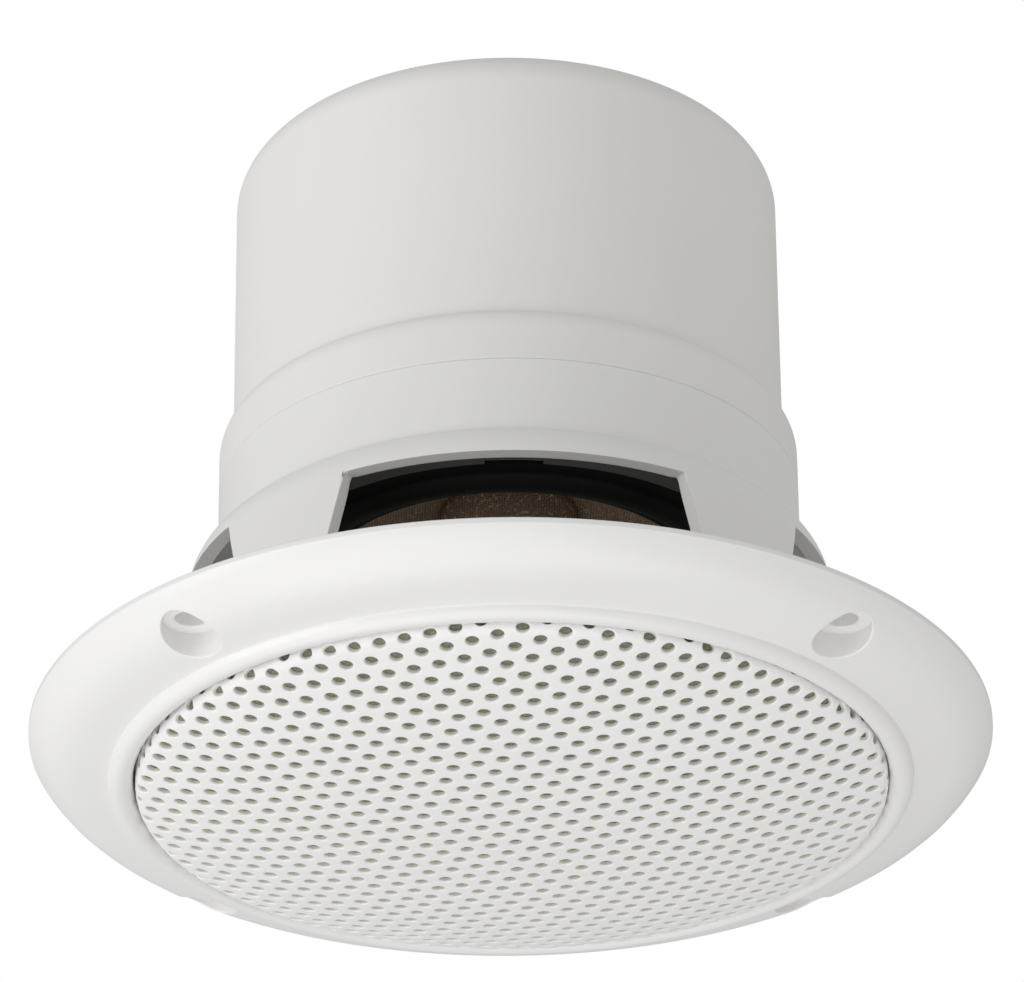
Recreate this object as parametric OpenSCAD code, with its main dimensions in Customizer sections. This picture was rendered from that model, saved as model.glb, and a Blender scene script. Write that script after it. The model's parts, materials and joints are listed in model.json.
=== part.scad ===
// Recessed ceiling speaker with a domed grille, a vented collar and a rear cap.
// Units are millimetres. +Z points up into the ceiling, -Z faces the room.
// The origin is the centre of the screw pattern, in the plane of the flange's back face.

/* [Flange] */
// Radius of the flange's rim
flange_r = 90; // [87:0.5:100]
// Height of the straight edge at the rim
rim_edge = 1.1; // [0.6:0.1:2]
// How far the flange's face stands below the ceiling, beside the lip
crown_drop = 9.8; // [8.5:0.1:12]
// How far the face bulges out from a straight cone
crown_bulge = 2.9; // [1:0.1:4]
// Wall of the flange's moulded shell
flange_wall = 2.4; // [1.8:0.1:3]
// Width of the rounded lip round the grille
lip_w = 2.8; // [2:0.1:4]
// Width of the flange's front, from the rim to the grille's recess
face_w = 19.6; // [18:0.1:21]
// How far the lip stands below the flange's face
lip_drop = 1.5; // [0.5:0.1:2.5]
// Thickness of the floor that the grille seats on
seat_t = 2.6; // [2:0.1:3.5]
// Count of radial ribs behind the flange
rib_count = 24; // [12:4:36]
// Thickness of a rib
rib_t = 1.6; // [1:0.1:2.5]

/* [Fixing screws] */
// How far the middles of the screw holes are set in from the rim
screw_inset = 8; // [7.8:0.1:9]
// Bore of a screw hole
screw_hole_d = 6; // [4:0.1:7]
// Bore of the recess for the screw's head
screw_head_d = 11.7; // [9:0.1:12]
// Depth of material under the screw's head
screw_seat = 4; // [3:0.1:4.1]
// Wall of the boss round a screw hole
screw_boss_wall = 2; // [1.5:0.1:3]

/* [Housing] */
// How far the skirt behind the flange stands out past the collar
skirt_step = 5.7; // [5:0.1:6.5]
// Height where the skirt starts to round over
shoulder_z = 28; // [26:0.5:32]
// Radius of the rounded shoulder
shoulder_r = 9; // [8:0.1:10]
// How far the collar's outside stands past the driver's basket
collar_over = 3.8; // [3:0.1:4.5]
// Wall of the skirt and the collar
housing_wall = 2; // [1.6:0.1:2.4]
// Height of the joint between the collar and the cap
seam_z = 51.2; // [49.5:0.1:54]
// Width of each window in the skirt, in degrees
window_angle = 61; // [40:1:66]
// Lower edge of the windows
window_low = 3; // [2:0.5:10]
// Upper edge of the windows
window_high = 28.9; // [20:0.1:30]
// Thickness of the ledge that holds the driver
ledge_t = 2.4; // [2:0.1:4]

/* [Rear cap] */
// How far the cap's body is set in from the collar
cap_step = 2.65; // [2:0.05:3]
// Height of the cap's closed end
cap_top = 121; // [110:1:140]
// Radius of the cap's rounded corner
cap_corner = 8; // [4:0.5:12]
// Height of the cap's wide band above the seam
band_h = 7.1; // [4:0.1:10]
// Height of the rounded step between the band and the body
step_h = 4; // [2:0.1:6]
// Wall of the cap
cap_wall = 2.2; // [1.8:0.1:2.6]
// Length of the spigot that plugs into the collar
spigot_len = 4.2; // [3:0.1:5]
// Clearance between the spigot and the collar
spigot_clear = 0.15; // [0.05:0.05:0.3]
// Height of the snap bead on the spigot
bead_h = 0.5; // [0.3:0.1:0.7]
// Count of stiffening ribs inside the cap
cap_rib_count = 6; // [4:1:8]

/* [Grille] */
// Clearance between the grille's rim and the lip
grille_gap = 0.8; // [0.4:0.1:1.2]
// Thickness of the grille's coated sheet
grille_t = 1; // [0.8:0.1:1.4]
// How far the middle of the grille stands below the ceiling
grille_drop = 19.7; // [18.5:0.1:21]
// Spherical radius of the grille's dome
dome_r = 310; // [290:1:350]
// Outer radius of the grille's rolled edge
roll_r = 3.6; // [3:0.1:4.5]
// Diameter of a hole
hole_d = 2.5; // [2:0.1:3]
// Distance between holes along a row
hole_pitch = 4.82; // [4.6:0.01:6]
// Distance between rows
row_pitch = 4.03; // [3.9:0.01:5.2]
// How far each row is set along from the row before
row_shift = 1.83; // [0:0.01:2.4]
// Angle of the rows to the X axis
row_angle = -20.1; // [-30:0.1:30]
// Offset of the pattern's nearest hole from the middle, along X
pattern_x = -2.44; // [-2.5:0.01:2.5]
// Offset of the pattern's nearest hole from the middle, along Y
pattern_y = -0.41; // [-2.5:0.01:2.5]
// Thickness of the fleece behind the grille
fleece_t = 0.5; // [0.3:0.1:0.8]

/* [Driver] */
// Height of the front face of the basket's flange
driver_z = 34.2; // [33.6:0.1:34.6]
// Radius of the basket's flange
basket_r = 51.5; // [51:0.1:51.7]
// Thickness of the basket's pressed sheet
basket_t = 1; // [0.8:0.1:1.2]
// Width of the ledge's seat under the basket's flange
seat_w = 4.9; // [4.5:0.1:5.5]
// Thickness of the seal between the basket and the ledge
seal_t = 1; // [0.8:0.1:1.2]
// Width of the rim that the trim ring covers on the basket's face
trim_w = 4; // [3.5:0.1:4.4]
// Thickness of the trim ring
trim_t = 0.8; // [0.5:0.1:1]
// How far the driver's screws are set in from the basket's edge
driver_inset = 2.2; // [2:0.1:2.4]
// Shank diameter of a driver screw
driver_screw_d = 3; // [2.6:0.1:3.2]
// Width of the surround between the cone's rim and the trim ring
surround_w = 10.1; // [9.5:0.1:11]
// Depth of the cone from its rim to its neck
cone_depth = 16.3; // [15.5:0.1:17]
// Thickness of the cone's woven wall
cone_t = 0.7; // [0.5:0.1:0.9]
// Rim radius of the dust cap
dust_r = 13; // [12:0.1:15]
// Height of the dust cap's dome
dust_h = 4.5; // [3:0.1:6]
// Radius of the surround's half roll
roll_half = 3.1; // [2.8:0.1:3.2]
// Thickness of the surround's rubber
surround_t = 0.6; // [0.4:0.1:0.8]

/* [Motor] */
// Inner radius of the voice coil's former
former_r = 9.9; // [9.7:0.05:10]
// Thickness of the former
former_t = 0.25; // [0.15:0.05:0.3]
// Radial thickness of the winding
winding_t = 0.6; // [0.4:0.1:0.7]
// Length of the winding
winding_len = 8; // [6:0.1:9]
// Clearance on each side of the coil in the magnet's gap
gap_clear = 0.5; // [0.3:0.05:0.6]
// Radius of the top plate
plate_r = 33; // [31:0.5:34]
// Thickness of the top plate
plate_t = 5; // [4:0.1:6]
// Radius of the ring magnet
magnet_r = 36; // [34:0.5:38]
// Bore radius of the ring magnet
magnet_bore_r = 18; // [15:0.5:20]
// Thickness of the ring magnet
magnet_t = 12; // [10:0.5:14]
// Radius of the yoke's back plate
yoke_r = 32; // [30:0.5:34]
// Thickness of the yoke's back plate
yoke_t = 4.5; // [3.5:0.1:6]
// Height of the spider above the basket's face
spider_rise = 17.2; // [16.9:0.1:17.4]
// Height of one fold in the spider
fold_h = 1.1; // [0.6:0.1:1.2]

/* [Wiring] */
// Diameter of a tinsel lead
tinsel_d = 1; // [0.8:0.1:1.2]
// Diameter of a supply wire
wire_d = 2.2; // [1.6:0.1:2.4]
// Bore of the grommet in the cap
grommet_bore = 6; // [4:0.1:7]
// Thickness of the grommet's flange
grommet_flange_t = 1.6; // [1:0.1:2.5]

/* [Hidden] */
$fn = 128;
// A cut runs past the face it opens by this much
past = 1;
screw_angles = [45:90:315];

// Flange and grille recess, worked inward from the rim
crown_z = -crown_drop;
recess_r = flange_r - face_w;
screw_pcd = 2*(flange_r - screw_inset);
lip_r = recess_r + lip_w;
cavity_r = recess_r + flange_wall;
face_centre = arc_centre([flange_r, -rim_edge], [lip_r, crown_z], crown_bulge);
face_r = norm([flange_r, -rim_edge] - face_centre);
seat_floor = -seat_t;

// Radii worked out from the basket's
ledge_r = basket_r - seat_w;
trim_r = basket_r - trim_w;
cone_r = trim_r - surround_w;
driver_pcd = 2*(basket_r - driver_inset);
collar_r = basket_r + collar_over;
skirt_r = collar_r + skirt_step;
cap_r = collar_r - cap_step;

// Housing, worked up from the flange
arc_r = skirt_r - shoulder_r;
skirt_in = skirt_r - housing_wall;
collar_in = collar_r - housing_wall;
arch_r = shoulder_r - housing_wall;
arch_z = shoulder_z + arch_r;
ledge_z = driver_z + basket_t + seal_t;
rebate_r = basket_r + 0.4;
pilot_d = driver_screw_d - 0.3;
boss_r = pilot_d/2 + 2.1;
boss_top = ledge_z + ledge_t + 7;

// Cap, worked up from the seam
band_top = seam_z + band_h;
step_top = band_top + step_h;
cap_in = cap_r - cap_wall;
cap_ceiling = cap_top - cap_wall;
spigot_out = collar_in - spigot_clear;
spigot_in = spigot_out - 1.8;
spigot_low = seam_z - spigot_len;
bead_z = spigot_low + 1.2;

// Grille, worked in from the recess
rim_r = recess_r - grille_gap;
dome_z = dome_r - grille_drop;
roll_at = rim_r - roll_r;
hem_t = grille_t + 0.4;
dome_sides = 24;
dome_reach = roll_at + 0.3;
dome_rings = [6, 17, 29, 41, 53, dome_reach];
dome_edge_z = dome_z - sqrt(dome_r*dome_r - dome_reach*dome_reach);
roll_z = dome_edge_z + roll_r - 0.3;

// Driver, worked up from the basket's front face
wall_r = ledge_r - 1.2;
shelf_z = driver_z + spider_rise + 0.6;
shelf_r = 29.5;
cup_r = 26;
back_z = shelf_z + 7.2;
plate_z = back_z + basket_t;
magnet_z = plate_z + plate_t;
yoke_z = magnet_z + magnet_t;
winding_r = former_r + former_t;
pole_r = former_r - gap_clear;
plate_bore = winding_r + winding_t + gap_clear;
winding_z = plate_z + (plate_t - winding_len)/2;
neck_r = winding_r;
cone_slope = cone_depth/(cone_r - neck_r);
neck_z = driver_z + cone_depth - 1;
glue_r = cone_r - 1.6;
cone_belly = 0.9;
cone_front = driver_z - cone_slope*(cone_r - glue_r)
    - cone_belly*sin(180*(cone_r - glue_r)/(cone_r - neck_r));
roll_mid = cone_r + 0.2 + roll_half;
roll_out = roll_mid + roll_half;
spider_z = shelf_z - 0.6;
spider_t = 0.5;
spoke_count = 4;
spoke_w = 24;

// Terminals, in a frame that lies on the basket's sloping wall
spoke_tilt = atan2(wall_r - shelf_r, shelf_z + basket_t - driver_z - basket_t);
board_mid = [0, (wall_r + shelf_r)/2, (driver_z + shelf_z)/2 + basket_t];
board_size = [18, 15, 1.6];
pad_t = 1.2;
tag_t = 0.8;
tag_x = 5;
block_size = [24, 13, 12];
block_y = 24;
post_h = 2;
clamp_d = 3.4;
block_head_d = 5.2;
notch_angle = 13;
block_top = cap_ceiling - post_h;
block_low = block_top - block_size[2];
ear_x = block_size[0]/2 + 4;

// Supply wires: from each tag, up past the magnet, into the terminal block
supply_route = [[4.6, 38.7, 49.95], [4.6, 35.4, 53.7], [4.6, 35.3, 57.2], [4.6, 38.4, 61], [4.4, 42, 64.6],
    [4.2, 44, 70], [4.2, 44, 78], [4.2, 44, 87], [4.4, 43.5, 95], [4.8, 41, 102], [5, 36.5, 106.9],
    [5, 32.6, 109.2], [5, 29, 109.4], [5, 25, 109.4]];
// Tinsel leads: from each tag, through the basket's window, to the back of the cone
tinsel_route = [[9.6, 40.8, 41.4], [12.2, 38.2, 41.6], [13, 34, 43.6], [12, 29, 46.2],
    [9.6, 23.6, 46.7], [7.4, 19, 45.5]];

function unit(v) = v/norm(v);
// Centre of the arc from p to q that bulges by s to the left of the way from p to q
function arc_centre(p, q, s) =
    let (chord = q - p, half = norm(chord)/2, r = (half*half + s*s)/(2*s))
    (p + q)/2 - [-chord[1], chord[0]]/(2*half)*(r - s);
// Points on an arc of an ellipse about c, from angle a to angle b
function ellipse_points(c, rx, ry, a, b, n = 12) =
    [for (i = [0:n]) let (t = a + (b - a)*i/n) c + [rx*cos(t), ry*sin(t)]];
// Height of the cone's front face at radius r: a straight wall with a slight belly
function cone_z(r) = cone_front + cone_slope*(cone_r - r)
    + cone_belly*sin(180*(cone_r - r)/(cone_r - neck_r));
// A smooth route through hand-placed points, m steps to each stretch
function at(p, i) = p[max(0, min(len(p) - 1, i))];
function blend(a, b, c, d, t) = 0.5*(2*b + (c - a)*t + (2*a - 5*b + 4*c - d)*t*t
    + (3*b - a - 3*c + d)*t*t*t);
function smooth(p, m = 3) = concat([for (i = [0:len(p) - 2]) for (k = [0:m - 1])
    blend(at(p, i - 1), at(p, i), at(p, i + 1), at(p, i + 2), k/m)], [p[len(p) - 1]]);
function mirror_x(p) = [for (v = p) [-v[0], v[1], v[2]]];

// A round wire of diameter d along the points p, with eight sides
module wire(p, d) {
    n = 8;
    last = len(p) - 1;
    points = [for (i = [0:last])
        let (t = unit(at(p, i + 1) - at(p, i - 1)), u = unit(cross(t, [1, 0.3, 0])), w = cross(t, u))
        for (k = [0:n - 1]) p[i] + d/2*(cos(360*k/n)*u + sin(360*k/n)*w)];
    sides = [for (i = [0:last - 1]) for (k = [0:n - 1])
        [i*n + k, i*n + (k + 1)%n, (i + 1)*n + (k + 1)%n, (i + 1)*n + k]];
    caps = [[for (k = [n - 1:-1:0]) k], [for (k = [0:n - 1]) last*n + k]];
    polyhedron(points, concat(sides, caps));
}

module ring(r_in, r_out, z, h) {
    translate([0, 0, z]) rotate_extrude() translate([r_in, 0]) square([r_out - r_in, h]);
}

// A wedge of a tube between two radii, w degrees wide and centred on +X
module sector(r_in, r_out, z, h, w) {
    translate([0, 0, z]) rotate([0, 0, -w/2]) rotate_extrude(angle = w)
        translate([r_in, 0]) square([r_out - r_in, h]);
}

// Section of the flange's shell: a face with one round curve, hollow behind, and the lip
module flange_section() {
    difference() {
        intersection() {
            translate(face_centre) circle(r = face_r);
            translate([recess_r, -2*crown_drop]) square([flange_r - recess_r, 2*crown_drop]);
        }
        intersection() {
            translate(face_centre) circle(r = face_r - flange_wall);
            translate([cavity_r, -2*crown_drop])
                square([flange_r - flange_wall - cavity_r, 2*crown_drop + past]);
        }
    }
    polygon(concat(
        ellipse_points([(lip_r + recess_r)/2, crown_z], lip_w/2, lip_drop, 0, -180, 10),
        [[recess_r, crown_z + 1.5], [lip_r, crown_z + 1.5]]
    ));
}

// Section of the skirt, the shoulder, the ledge and the collar
module housing_section() {
    polygon(concat(
        [[skirt_r, 0], [skirt_in, 0], [skirt_in, shoulder_z]],
        ellipse_points([arc_r, shoulder_z], arch_r, arch_r, 0, 90, 8),
        [[rebate_r, arch_z], [rebate_r, ledge_z], [ledge_r, ledge_z],
            [ledge_r, ledge_z + ledge_t], [collar_in, ledge_z + ledge_t],
            [collar_in, seam_z], [collar_r, seam_z]],
        ellipse_points([arc_r, shoulder_z], shoulder_r, shoulder_r,
            acos((collar_r - arc_r)/shoulder_r), 0, 10)
    ));
}

// Section of the space behind the flange that its bosses and ribs stand in
module flange_fill_section() {
    intersection() {
        translate(face_centre) circle(r = face_r - flange_wall/2);
        translate([cavity_r - 0.5, -2*crown_drop])
            square([flange_r - flange_wall/2 - cavity_r + 0.5, 2*crown_drop]);
    }
}

module front_frame() {
    color("white") difference() {
        union() {
            rotate_extrude() flange_section();
            ring(skirt_in, cavity_r - 1, seat_floor, seat_t);
            intersection() {
                rotate_extrude() flange_fill_section();
                union() {
                    for (a = screw_angles) rotate([0, 0, a])
                        translate([screw_pcd/2, 0, -crown_drop])
                            cylinder(d = screw_head_d + 2*screw_boss_wall, h = crown_drop);
                    for (i = [0:rib_count - 1]) rotate([0, 0, 360*(i + 0.5)/rib_count])
                        translate([cavity_r - 0.5, -rib_t/2, -crown_drop])
                            cube([flange_r - cavity_r, rib_t, crown_drop - 1]);
                }
            }
        }
        for (a = screw_angles) rotate([0, 0, a]) {
            translate([screw_pcd/2, 0, -screw_seat - 2*crown_drop])
                cylinder(d = screw_head_d, h = 2*crown_drop, $fn = 64);
            translate([screw_pcd/2, 0, -screw_seat - past])
                cylinder(d = screw_hole_d, h = screw_seat + 2*past, $fn = 64);
        }
    }
}

module vented_skirt() {
    color("white") difference() {
        union() {
            rotate_extrude() housing_section();
            for (a = screw_angles) rotate([0, 0, a]) translate([driver_pcd/2, 0, ledge_z])
                cylinder(r = boss_r, h = boss_top - ledge_z, $fn = 48);
        }
        for (a = screw_angles) rotate([0, 0, a]) translate([driver_pcd/2, 0, ledge_z - past])
            cylinder(d = pilot_d, h = boss_top - ledge_z - 1 + past, $fn = 32);
        for (a = [0:90:270]) rotate([0, 0, a])
            sector(skirt_in - past, skirt_r + past, window_low, window_high - window_low, window_angle);
        ring(collar_in - past, collar_in + bead_h, bead_z - 0.2, bead_h*2 + 0.4);
    }
}

// A solid of flat faces that fills the grille's dome from g inside its outer face, to height top
module dome_solid(g, top) {
    hull() {
        for (r = dome_rings) translate([0, 0, dome_z - sqrt(pow(dome_r - g, 2) - r*r)])
            cylinder(r = r/cos(180/dome_sides), h = 0.02, $fn = dome_sides);
        translate([0, 0, top]) cylinder(r = dome_reach/cos(180/dome_sides), h = 0.02, $fn = dome_sides);
    }
}

// The dome's sheet of thickness t, g inside the dome's outer face
module dome_sheet(g, t) {
    difference() {
        dome_solid(g, dome_edge_z + g + t);
        dome_solid(g + t, dome_edge_z + g + t + 5);
    }
}

// Holes of the pattern whose centres lie within radius r
function pattern(r) = [for (i = [-24:24]) for (j = [-20:20])
    let (u = i*hole_pitch + j*row_shift, v = j*row_pitch,
        p = [pattern_x + u*cos(row_angle) - v*sin(row_angle),
            pattern_y + u*sin(row_angle) + v*cos(row_angle)])
    if (norm(p) < r) p];

module grille() {
    color("white") difference() {
        union() {
            dome_sheet(0, grille_t);
            rotate_extrude() intersection() {
                translate([roll_at, roll_z]) difference() {
                    union() {
                        circle(r = roll_r);
                        translate([0, -0.1]) square([roll_r, seat_floor - roll_z + 0.1]);
                    }
                    circle(r = roll_r - hem_t);
                    square([roll_r - hem_t, seat_floor - roll_z + past]);
                }
                translate([roll_at, roll_z - roll_r]) square([roll_r, roll_r + seat_floor - roll_z]);
            }
        }
        for (p = pattern(roll_at - hole_d)) translate([p[0], p[1], -grille_drop - past])
            cylinder(d = hole_d, h = grille_drop, $fn = 16);
    }
}

module grille_fleece() {
    color([0.8, 0.82, 0.76]) intersection() {
        dome_sheet(grille_t, fleece_t);
        translate([0, 0, -grille_drop]) cylinder(r = roll_at - 1, h = grille_drop);
    }
}

module rear_cap() {
    color([0.9, 0.9, 0.88]) difference() {
        union() {
            rotate_extrude() polygon(concat(
                [[spigot_in, spigot_low], [spigot_out - 0.4, spigot_low], [spigot_out, spigot_low + 0.6],
                    [spigot_out, bead_z], [spigot_out + bead_h, bead_z + bead_h],
                    [spigot_out, bead_z + 2*bead_h], [spigot_out, seam_z], [collar_r, seam_z]],
                ellipse_points([cap_r, band_top], collar_r - cap_r, step_h, 0, 90, 10),
                ellipse_points([cap_r - cap_corner, cap_top - cap_corner], cap_corner, cap_corner, 0, 90, 12),
                [[0, cap_top], [0, cap_ceiling]],
                ellipse_points([cap_r - cap_corner, cap_top - cap_corner],
                    cap_corner - cap_wall, cap_corner - cap_wall, 90, 0, 10),
                [[cap_in, step_top], [spigot_in, band_top]]
            ));
            for (i = [0:cap_rib_count - 1]) rotate([0, 0, 360*(i + 0.5)/cap_rib_count])
                translate([cap_in - 2, -0.8, step_top + 1])
                    cube([2.5, 1.6, cap_ceiling - step_top - cap_corner - 2]);
            for (s = [-1, 1]) translate([s*ear_x, block_y, block_top])
                cylinder(d = 6.5, h = post_h + cap_wall/2, $fn = 48);
        }
        translate([0, 0, cap_ceiling - past]) cylinder(d = grommet_bore + 3, h = cap_wall + 2*past, $fn = 64);
        for (s = [-1, 1]) translate([s*ear_x, block_y, block_top - past])
            cylinder(d = 2.4, h = post_h + past + 1.2, $fn = 32);
    }
}

module driver_basket() {
    color([0.16, 0.16, 0.17]) difference() {
        union() {
            rotate_extrude() polygon([[basket_r, driver_z], [basket_r, driver_z + basket_t],
                [wall_r, driver_z + basket_t], [shelf_r, shelf_z + basket_t], [cup_r, shelf_z + basket_t],
                [cup_r, plate_z], [cup_r - 12, plate_z], [cup_r - 12, back_z], [cup_r - 1, back_z],
                [cup_r - 1, shelf_z], [shelf_r - 0.5, shelf_z], [wall_r - 1.2, driver_z + 0.7],
                [wall_r - 1.5, driver_z]]);
            on_spoke() translate([-board_size[0]/2, -board_size[1]/2 + 1, -1.6])
                cube([board_size[0], board_size[1] - 1, 1.6 + pad_t]);
        }
        for (i = [0:spoke_count - 1]) rotate([0, 0, 45 + 360*i/spoke_count])
            sector(shelf_r + 1.2, basket_r, driver_z + 3, shelf_z - driver_z - 4.5, 360/spoke_count - spoke_w);
        for (a = screw_angles) rotate([0, 0, a]) translate([driver_pcd/2, 0, driver_z - past])
            cylinder(d = driver_screw_d + 0.5, h = basket_t + 2*past, $fn = 32);
        board_holes();
    }
}

// Places its children on the outside of the basket's wall, with +Z out of the wall
module on_spoke() {
    translate(board_mid) rotate([spoke_tilt - 90, 0, 0]) rotate([0, 0, 180]) children();
}

module board_holes() {
    for (s = [-1, 1]) on_spoke() translate([s*tag_x, 0, -4]) cylinder(d = 2.4, h = 10, $fn = 32);
}

module basket_seal() {
    color([0.25, 0.25, 0.25]) difference() {
        ring(ledge_r + 0.4, basket_r, driver_z + basket_t, seal_t);
        for (a = screw_angles) rotate([0, 0, a]) translate([driver_pcd/2, 0, driver_z])
            cylinder(d = driver_screw_d + 0.5, h = 4, $fn = 32);
    }
}

module trim_ring() {
    color([0.2, 0.2, 0.2]) difference() {
        ring(trim_r, basket_r - 0.2, driver_z - trim_t, trim_t);
        for (a = screw_angles) rotate([0, 0, a]) translate([driver_pcd/2, 0, driver_z - 4])
            cylinder(d = driver_screw_d + 0.5, h = 8, $fn = 32);
        for (a = [0:90:270]) rotate([0, 0, a]) sector(trim_r - past, trim_r + 1.3, driver_z - 2, 4, notch_angle);
    }
}

module surround() {
    low = driver_z - surround_t;
    color([0.1, 0.1, 0.1]) rotate_extrude() polygon(concat(
        [[glue_r, low], [roll_mid - roll_half, low]],
        ellipse_points([roll_mid, low], roll_half, roll_half, 180, 360, 16),
        [[trim_r - 0.2, low], [trim_r - 0.2, driver_z]],
        ellipse_points([roll_mid, driver_z - surround_t], roll_half - surround_t, roll_half - surround_t,
            360, 180, 16),
        [[roll_mid - roll_half + surround_t, driver_z], [glue_r, driver_z]]
    ));
}

module cone() {
    steps = 16;
    radii = [for (i = [0:steps]) glue_r - (glue_r - neck_r)*i/steps];
    color([0.3, 0.22, 0.15]) rotate_extrude() polygon(concat(
        [[cone_r, driver_z]],
        [for (r = radii) [r, cone_z(r)]],
        [for (i = [steps:-1:0]) [radii[i], cone_z(radii[i]) + cone_t]],
        [[cone_r, driver_z + cone_t]]
    ));
}

module dust_cap() {
    rim = cone_z(dust_r) - 0.05;
    color([0.12, 0.12, 0.12]) rotate_extrude() polygon(concat(
        ellipse_points([0, rim], dust_r, dust_h, -90, 0, 12),
        ellipse_points([0, rim], dust_r - 0.6, dust_h - 0.5, 0, -90, 12)
    ));
}

module coil_former() {
    color([0.75, 0.6, 0.35])
        ring(former_r, winding_r, neck_z - 1.6, winding_z + winding_len + 0.6 - neck_z + 1.6);
}

module voice_coil() {
    color([0.7, 0.4, 0.2]) ring(winding_r, winding_r + winding_t, winding_z, winding_len);
}

module spider() {
    folds = 5;
    fold_in = winding_r + 2;
    fold_out = cup_r - 1.5;
    steps = folds*8;
    wave = [for (i = [0:steps]) [fold_in + (fold_out - fold_in)*i/steps, fold_h*sin(360*folds*i/steps)]];
    color([0.75, 0.55, 0.25]) rotate_extrude() translate([0, spider_z]) polygon(concat(
        [[winding_r, 0]], wave, [[shelf_r - 1, 0], [shelf_r - 1, 0.6], [fold_out, 0.6]],
        [for (i = [steps - 1:-1:0]) wave[i] + [0, spider_t]], [[winding_r, spider_t]]
    ));
}

module top_plate() {
    color([0.7, 0.7, 0.72]) ring(plate_bore, plate_r, plate_z, plate_t);
}

module magnet() {
    color([0.22, 0.22, 0.23]) ring(magnet_bore_r, magnet_r, magnet_z, magnet_t);
}

module yoke() {
    color([0.7, 0.7, 0.72]) {
        translate([0, 0, yoke_z]) cylinder(r = yoke_r, h = yoke_t);
        translate([0, 0, plate_z]) cylinder(r = pole_r, h = yoke_z - plate_z);
    }
}

module terminal_board() {
    color([0.45, 0.3, 0.15]) difference() {
        on_spoke() translate([-board_size[0]/2, -board_size[1]/2, pad_t]) cube(board_size);
        board_holes();
    }
}

// A blade terminal of width w, riveted to the board and standing off its upper end
module terminal(side, w) {
    color("silver") difference() {
        on_spoke() translate([side*tag_x - w/2, -board_size[1]/2 + 1, pad_t + board_size[2]])
            cube([w, board_size[1] + 1, tag_t]);
        board_holes();
    }
}

module terminal_positive() {
    terminal(-1, 4.8);
}

module terminal_negative() {
    terminal(1, 4);
}

module board_rivets() {
    color("silver") on_spoke() for (s = [-1, 1]) translate([s*tag_x, 0, 0]) {
        translate([0, 0, -1.6]) cylinder(d = 2.4, h = pad_t + board_size[2] + tag_t + 1.6, $fn = 32);
        translate([0, 0, pad_t + board_size[2] + tag_t]) cylinder(d = 3.8, h = 0.8, $fn = 32);
    }
}

module tinsel_positive() {
    color([0.8, 0.7, 0.5]) wire(smooth(tinsel_route), tinsel_d);
}

module tinsel_negative() {
    color([0.8, 0.7, 0.5]) wire(smooth(mirror_x(tinsel_route)), tinsel_d);
}

module driver_screws() {
    head_h = 2;
    head_z = driver_z - trim_t - head_h;
    color("silver") for (a = screw_angles) rotate([0, 0, a]) translate([driver_pcd/2, 0, head_z])
        difference() {
            union() {
                cylinder(d1 = 4.6, d2 = 5.6, h = head_h, $fn = 48);
                cylinder(d = pilot_d, h = boss_top - 2 - head_z, $fn = 32);
            }
            for (t = [0, 90]) rotate([0, 0, t]) translate([-1.6, -0.35, -past]) cube([3.2, 0.7, 1 + past]);
        }
}

module cable_grommet() {
    color([0.15, 0.15, 0.15]) difference() {
        union() {
            translate([0, 0, cap_ceiling]) cylinder(d = grommet_bore + 3, h = cap_wall, $fn = 64);
            translate([0, 0, cap_top]) cylinder(d = grommet_bore + 7, h = grommet_flange_t, $fn = 64);
            translate([0, 0, cap_ceiling - grommet_flange_t])
                cylinder(d = grommet_bore + 6, h = grommet_flange_t, $fn = 64);
        }
        translate([0, 0, cap_ceiling - grommet_flange_t - past])
            cylinder(d = grommet_bore, h = cap_wall + 2*grommet_flange_t + 2*past, $fn = 64);
    }
}

module terminal_block() {
    color([0.9, 0.9, 0.85]) difference() {
        union() {
            translate([-block_size[0]/2, block_y - block_size[1]/2, block_low]) cube(block_size);
            for (s = [-1, 1]) hull() {
                translate([s*ear_x, block_y, block_top - 2.5]) cylinder(r = 4, h = 2.5, $fn = 32);
                translate([s*block_size[0]/2 - 1, block_y - 4, block_top - 2.5]) cube([2, 8, 2.5]);
            }
        }
        for (s = [-1, 1]) {
            translate([s*ear_x, block_y, block_top - 4]) cylinder(d = 3.2, h = 6, $fn = 32);
            translate([s*tag_x, block_y, block_low + 4.6]) rotate([90, 0, 0])
                cylinder(d = wire_d + 0.8, h = block_size[1] + 2*past, center = true, $fn = 32);
            for (t = [-1, 1]) translate([s*tag_x, block_y + t*3.2, block_low - past])
                cylinder(d = clamp_d + 0.2, h = 4.6 + past, $fn = 32);
        }
    }
}

module clamp_screws() {
    color("silver") for (s = [-1, 1]) for (t = [-1, 1])
        translate([s*tag_x, block_y + t*3.2, block_low + 0.6]) difference() {
            cylinder(d = clamp_d, h = 2.8, $fn = 32);
            translate([-clamp_d, -0.3, -past]) cube([2*clamp_d, 0.6, 0.8 + past]);
        }
}

module block_screws() {
    color("silver") for (s = [-1, 1]) translate([s*ear_x, block_y, block_top - 2.5]) difference() {
        union() {
            translate([0, 0, -1.8]) cylinder(d1 = block_head_d - 1, d2 = block_head_d, h = 1.8, $fn = 48);
            cylinder(d = 2.4, h = post_h + 2.5 + 1, $fn = 32);
        }
        for (t = [0, 90]) rotate([0, 0, t]) translate([-1.4, -0.3, -1.8 - past]) cube([2.8, 0.6, 0.9 + past]);
    }
}

module supply_wire_positive() {
    color("firebrick") wire(smooth(supply_route), wire_d);
}

module supply_wire_negative() {
    color([0.1, 0.1, 0.1]) wire(smooth(mirror_x(supply_route)), wire_d);
}

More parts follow.
